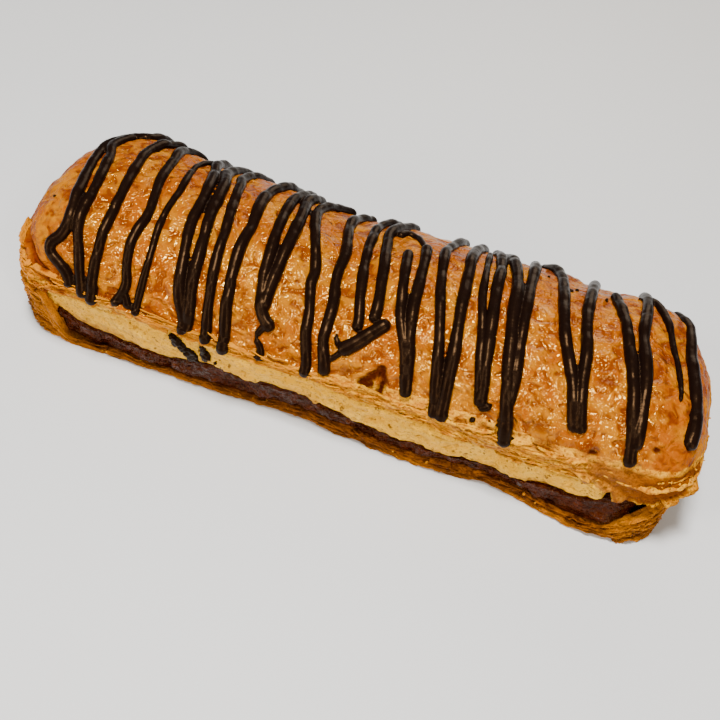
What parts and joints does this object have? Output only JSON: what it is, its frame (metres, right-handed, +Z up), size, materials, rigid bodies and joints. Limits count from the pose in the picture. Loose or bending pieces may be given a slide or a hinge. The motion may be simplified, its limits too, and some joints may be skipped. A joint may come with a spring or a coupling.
{
  "type": "filled puff pastry loaf",
  "caption": "Long domed puff pastry split along its length, filled with a layer of chocolate and a layer of pastry cream, with chocolate drizzled across its glazed top.",
  "frame": {"origin": "the middle of the flat underside, on the surface the loaf stands on", "axes": "+X along the loaf, +Y from its front to its back, +Z up"},
  "size_m": [0.282, 0.0958, 0.0672],
  "materials": {
    "flaky_crust": "baked layered puff pastry, matt, golden brown",
    "chocolate": "dark chocolate, satin on the drizzle and wet on the filling",
    "cream": "pale yellow pastry cream, soft satin",
    "glazed_crust": "glossy golden glazed pastry, wrinkled"
  },
  "bodies": {
    "root": {"bottom_crust": "flaky_crust", "chocolate_filling": "chocolate", "cream_filling": "cream", "top_crust": "glazed_crust"}
  },
  "joints": []
}
